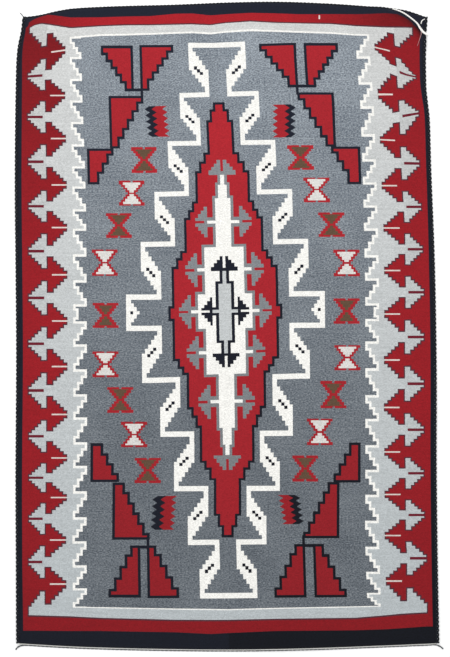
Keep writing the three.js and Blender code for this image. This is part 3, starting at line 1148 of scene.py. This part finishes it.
# %% The bar at the heart
HEART = {"half": 9.3, "end": 30.5, "inner_half": 6.2, "inner_end": 28.2}
HEART_SHIFT = 1.1
STEM = {"half": 4.8, "inner_half": 1.8, "end": 40.8}
SIDE_STEM = {"half": 4.4, "inner_half": 1.4, "end": 12.6}
HEART_HEAD = {"length": 14.4, "half": 13.4, "first": 4.3, "run": 3.0, "drop": 3.5, "most": 3}
FLANK_HEAD = {"length": 11.3, "half": 13.9, "first": 3.5, "run": 3.5, "drop": 3.0, "most": 3}
HEART_SLIT = {"half": 1.3, "from": 3.0}

heart_y = abs(even_y + HEART_SHIFT)
rug.lay((x < HEART["half"]) * (heart_y < HEART["end"]), black)
rug.lay((x < STEM["half"]) * (heart_y < STEM["end"]), black)
rug.lay((x < SIDE_STEM["end"]) * (y < SIDE_STEM["half"]), black)
ahead = heart_y - STEM["end"]
rug.lay(arrowhead(ahead, x, HEART_HEAD), black)
rug.lay(arrowhead(x - SIDE_STEM["end"], y, FLANK_HEAD), black)
slit = within(ahead, HEART_SLIT["from"], HEART_HEAD["length"])
rug.lay(slit * (x < HEART_SLIT["half"]), white)
slit = within(x - SIDE_STEM["end"], HEART_SLIT["from"], FLANK_HEAD["length"])
rug.lay(slit * (y < HEART_SLIT["half"]), white)
rug.lay((x < STEM["inner_half"]) * (heart_y < STEM["end"]), pale_ground)
rug.lay((x < SIDE_STEM["end"]) * (y < SIDE_STEM["inner_half"]), pale_ground)
in_bar = (x < HEART["inner_half"]) * (heart_y < HEART["inner_end"])
rug.lay(in_bar, pale_ground)

# %% [markdown]
# ### Beads of weft
# In this weave each weft shows as a bead over one warp thread, and the beads of neighbouring
# warps are set half a row apart. The relief is that of one bead repeated, and each bead is
# a little lighter or darker than the next. Each bead is also painted darker towards its rim,
# as painted shade where it curves down.

# %% Relief, painted shade on the beads, and tone from bead to bead
BEAD_WIDTH = 1.07
BEAD_DEPTH = 0.0006
BEAD_SHADE = 0.16
BEAD_CHANCE = 0.3
FLECK_SHADE = 0.3

rib = (raw_x / BEAD_WIDTH).floor()
half_row = (rib * 0.5).fraction()
bead_row = raw_y / PICK + half_row
over = (raw_x / BEAD_WIDTH).fraction() * 2 - 1
under = bead_row.fraction() * 2 - 1
bead = 1 - (over * over * 0.6 + under * under * 0.4)
luck = rug.chance(rug.vector(rib, bead_row.floor()))
# Painted shade: each bead is darker towards its rim. The chance, the flecks and the cloud are the wool's
# own tone.
light = 1.03 - BEAD_SHADE * (1 - bead) + (luck - 0.5) * BEAD_CHANCE
light = light + (fleck - 0.5) * FLECK_SHADE + (cloud - 0.5) * 0.1
patterned_wool = rug.wool(rug.shade(rug.ground, light), bead, BEAD_DEPTH)
print("patterned wool has", len(rug.tree.nodes), "nodes")

# %% [markdown]
# ## The cloth
# The grid gets its thickness and stands for the solid cloth, which stays in the model for
# its weight.

# %% Cloth object
cloth = bpy.data.objects.new("cloth", cloth_mesh)
scene.collection.objects.link(cloth)
thick = cloth.modifiers.new("thickness", "SOLIDIFY")
thick.thickness = CLOTH_THICKNESS
thick.offset = -1
cloth_mesh.materials.append(patterned_wool)
cloth_mesh.polygons.foreach_set("use_smooth", [True] * len(cloth_mesh.polygons))
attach(cloth, "root")
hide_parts("rug_body")
print("cloth", [round(size, 3) for size in cloth.dimensions])

# %% [markdown]
# ## Spun wool
# Cords and loose ends are plied yarn. Their fibres wind round each ply, which a fine slanted
# stripe on the ply's own map shows, as a relief and as painted shade in its grooves. The map's
# first number runs round the ply and the second along it, in metres.

# %% Yarn material
FIBRE_TURNS = 3
FIBRE_PITCH = 0.0035
YARN_DEPTH = 0.00025


def yarn(name, colour_of_yarn):
    spun = Recipe(name)
    mapped = spun.node("ShaderNodeUVMap", {"uv_map": "ply"})
    around, along, _ = spun.parts(Value(spun, mapped.outputs[0]))
    fibre = (around * FIBRE_TURNS + along / FIBRE_PITCH).swing(0.5) * 2
    fuzz = spun.noise(spun.vector(around * 4, along * 900), 1.0, 2)
    # Painted shade: the colour is darker in the grooves between the fibres. The fuzz is the wool's own
    # tone.
    light = 0.84 + fibre * 0.16 + (fuzz - 0.5) * 0.3
    return spun.wool(spun.shade(colour_of_yarn, light), fibre + fuzz, YARN_DEPTH)


CORD_BLACK = dye(24, 28, 36)
CORD_GREY = dye(84, 88, 92)
CORD_PALE = dye(238, 237, 232)
CREAM = dye(270, 268, 264)
PINKISH = dye(210, 160, 160)
black_yarn = yarn("black_yarn", CORD_BLACK)
grey_yarn = yarn("grey_yarn", CORD_GREY)
pale_yarn = yarn("pale_yarn", CORD_PALE)
cream_yarn = yarn("cream_yarn", CREAM)
pink_yarn = yarn("pink_yarn", PINKISH)

# %% [markdown]
# ## Twisted cords
# Two plies wind round each other along every edge, and the wefts catch them as they turn.
# Each ply is a grid made by an operator and rolled up into a tube along its winding route.
# Its long seam is welded and its ends are closed.

# %% A ply and a cord
PLY_SIDES = 8
UPWARD = np.array([0.0, 0.0, 1.0])


def ply(shape, route, radii, material_index):
    """Adds a tube along a route of points, with a radius for each point."""
    uv = shape.loops.layers.uv.verify()
    stops = len(route) - 1
    made = bmesh.ops.create_grid(
        shape, x_segments=PLY_SIDES, y_segments=stops, size=0.5, calc_uvs=True
    )["verts"]
    ahead = np.gradient(route, axis=0)
    ahead /= np.linalg.norm(ahead, axis=1, keepdims=True)
    sideways = np.cross(UPWARD, ahead)
    sideways /= np.linalg.norm(sideways, axis=1, keepdims=True)
    upward = np.cross(ahead, sideways)
    steps = np.linalg.norm(np.diff(route, axis=0), axis=1)
    length = float(steps.sum())
    for vert in made:
        stop = round((vert.co.y + 0.5) * stops)
        angle = (vert.co.x + 0.5) * 2 * math.pi
        spoke = sideways[stop] * math.cos(angle) + upward[stop] * math.sin(angle)
        vert.co = route[stop] + radii[stop] * spoke
    for face in {face for vert in made for face in vert.link_faces}:
        face.material_index = material_index
        face.smooth = True
        for loop in face.loops:
            loop[uv].uv.y *= length
    bmesh.ops.remove_doubles(shape, verts=made, dist=1e-6)


def twisted(name, route, strands, size, taper=None):
    """A cord of plies wound round each other, which lies on a route.

    The size gives a ply's radius, how far it winds across and up, and a turn's length."""
    radius = size["ply"]
    wind = size["wind"]
    shape = bmesh.new()
    shape.loops.layers.uv.new("ply")
    gaps = np.linalg.norm(np.diff(route, axis=0), axis=1)
    reached = np.concatenate([[0], np.cumsum(gaps)])
    ahead = np.gradient(route, axis=0)
    ahead /= np.linalg.norm(ahead, axis=1, keepdims=True)
    sideways = np.cross(UPWARD, ahead)
    radii = np.full(len(route), radius)
    if taper is not None:
        radii = radii * np.interp(reached / reached[-1], *taper)
    route = route + UPWARD * (radii * (1 + wind[1] / radius))[:, None]
    for number, _ in enumerate(strands):
        angle = 2 * math.pi * (reached / size["turn"] + number / len(strands))
        offset = sideways * (wind[0] * np.cos(angle))[:, None]
        offset = offset + UPWARD * (wind[1] * np.sin(angle))[:, None]
        ply(shape, route + offset * (radii / radius)[:, None], radii, number)
    rims = [loop_edge for loop_edge in shape.edges if loop_edge.is_boundary]
    bmesh.ops.holes_fill(shape, edges=rims, sides=0)
    bmesh.ops.recalc_face_normals(shape, faces=shape.faces)
    mesh = bpy.data.meshes.new(name)
    shape.to_mesh(mesh)
    shape.free()
    for material in strands:
        mesh.materials.append(material)
    cord = bpy.data.objects.new(name, mesh)
    scene.collection.objects.link(cord)
    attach(cord, "root")
    print(name, len(mesh.polygons), "faces")
    return cord


# %% [markdown]
# ## Where the cords run
# A cord lies beside the cloth's edge, half in its shade, and goes along where the edge
# stands off the floor.

# %% Selvage and end cords
SEAT_GAP = 0.0004
SIDE_CORD = {"ply": 0.0026, "wind": (0.0031, 0.0006), "turn": 0.0248, "away": 0.0007}
TOP_CORD = {"ply": 0.00155, "wind": (0.0014, 0.0004), "turn": 0.022, "away": 0.0018}
BOTTOM_CORD = {"ply": 0.0011, "wind": (0.0008, 0.0005), "turn": 0.016, "away": 0.0016}
# Painted shadow: the thin grey cord that stands for the pale end cord's shadow, with real grey tails at
# its ends.
GREY_SHADOW_AND_TAILS = {"ply": 0.0009, "wind": (0.0005, 0.0004), "turn": 0.024, "away": 0.0052}
GREY_SHADOW_AND_TAILS_TAPER = ([0, 0.012, 0.03, 0.97, 0.99, 1], [1.5, 1.6, 1.1, 1.0, 1.5, 1.4])
END_INSET = 0.003
CORNER_REACH = 0.004
TAILS = {
    "left": [(-0.615, -0.942), (-0.610, -0.9355), (-0.600, -0.9305)],
    "right": [(0.604, -0.9280), (0.618, -0.9325), (0.627, -0.940)],
}
TURN_STOPS = 12
EDGE_STOPS = 45


def beside(name, outward, size, inset=0.0, before=(), after=()):
    """The line that a cord lies on along an edge, in steps of a part of a turn."""
    share = np.linspace(inset, 1 - inset, EDGE_STOPS)
    along = edge[name].heading(share)
    normal = np.column_stack([-along[:, 1], along[:, 0]]) * outward
    places = edge[name].at(share) + normal * size["away"]
    line = Line([*before, *places.tolist(), *after])
    stops = round(line.length / size["turn"] * TURN_STOPS)
    plan_line = line.at(np.linspace(0, 1, stops + 1))
    return np.column_stack([plan_line + MIDDLE, lift(plan_line)])


for side, outward in (("left", 1), ("right", -1)):
    corner = edge[side].at(1.0)
    corner = corner + [-outward * SIDE_CORD["away"], CORNER_REACH]
    route = beside(side, outward, SIDE_CORD, after=[corner.tolist()])
    cord = twisted(f"selvage_{side}", route, [black_yarn, black_yarn], SIDE_CORD)
    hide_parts(f"side_cord_{side}")

route = beside("top", 1, TOP_CORD, END_INSET)
top_cord = twisted("top_cord", route, [black_yarn, black_yarn], TOP_CORD)
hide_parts("end_cord_top")

route = beside("bottom", -1, BOTTOM_CORD, END_INSET)
bottom_cord = twisted("bottom_cord", route, [pale_yarn, pale_yarn], BOTTOM_CORD)
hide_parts("end_cord_bottom")

# Painted shadow: a thin grey cord outside the pale end cord stands for that cord's shadow on the floor.
# It thickens at both corners into the real grey tails.
route = beside("bottom", -1, GREY_SHADOW_AND_TAILS, 0.02, TAILS["left"], TAILS["right"])
grey_shadow_and_tails = twisted("grey_shadow_and_tails", route, [grey_yarn, grey_yarn], GREY_SHADOW_AND_TAILS, GREY_SHADOW_AND_TAILS_TAPER)

# %% [markdown]
# ## Loose ends
# The weaver left a few ends at the far corners. A grey one sticks out on the left. On the
# right a cream one curls over the corner, and another lies along the fold, where it hides
# the crease, and trails off thin and pink.

# %% Yarn ends
YARN_STEP = 0.002
YARN_TURN = 0.012
BRIDGE = 0.007
TOP_LEFT_YARN = [(-0.593, 0.8974), (-0.598, 0.904), (-0.604, 0.910)]
CORNER_CURL = [(0.562, 0.876), (0.565, 0.885), (0.574, 0.8905)]
FOLD_YARN = [
    (0.479, 0.9185), (0.496, 0.914), (0.513, 0.906), (0.532, 0.893), (0.550, 0.878),
    (0.559, 0.864), (0.568, 0.852), (0.582, 0.843),
]
FOLD_THREAD = [(0.562, 0.862), (0.562, 0.846), (0.557, 0.829), (0.551, 0.811)]


def rest_height(places, on_cloth):
    """The height on which a yarn rests: the floor, or the highest cloth around it."""
    if not on_cloth:
        return np.zeros(len(places))
    around = [(0, 0), (BRIDGE, 0), (-BRIDGE, 0), (0, BRIDGE), (0, -BRIDGE)]
    heights = [lift(places + np.array(step)) for step in around]
    return np.max(heights, axis=0) + CLOTH_THICKNESS + SEAT_GAP


def loose_end(name, places, on_cloth, material, node, radius, taper):
    line = Line(places)
    stops = max(6, round(line.length / YARN_STEP))
    plan_line = line.at(np.linspace(0, 1, stops + 1))
    route = np.column_stack([plan_line + MIDDLE, rest_height(plan_line, on_cloth)])
    size = {"ply": radius, "wind": (radius * 0.8, radius * 0.7), "turn": YARN_TURN}
    end = twisted(name, route, [material, material], size, taper)
    if node is not None:
        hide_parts(node)


loose_end("grey_end", TOP_LEFT_YARN, False, grey_yarn, "yarn_end_top_left",
          0.00085, ([0, 0.7, 1], [1, 1, 0.5]))
loose_end("cream_curl", CORNER_CURL, True, cream_yarn, "yarn_curl_top_right",
          0.0009, ([0, 0.7, 1], [1, 1, 0.6]))
loose_end("cream_end", FOLD_YARN, True, cream_yarn, "yarn_over_fold",
          0.0013, ([0, 0.15, 0.6, 0.85, 1], [0.6, 1, 1.1, 1.7, 1.4]))
loose_end("pink_thread", FOLD_THREAD, True, pink_yarn, None,
          0.0006, ([0, 0.5, 1], [1, 0.9, 0.5]))

# %% [markdown]
# ## The floor's colour
# The floor was laid at the start, before there was a Recipe to colour it with.

# %% Pale floor
FLOOR_PALE = (0.93, 0.93, 0.93, 1)
FLOOR_ROUGHNESS = 0.9

floor_recipe = Recipe("pale_floor")
paint = floor_recipe.node(
    "ShaderNodeBsdfPrincipled", inputs={"Base Color": FLOOR_PALE, "Roughness": FLOOR_ROUGHNESS}
)
result = floor_recipe.node("ShaderNodeOutputMaterial")
floor_recipe.tree.links.new(paint.outputs[0], result.inputs["Surface"])
floor_mesh.materials.append(floor_recipe.material)
print("floor material", floor_recipe.material.name)
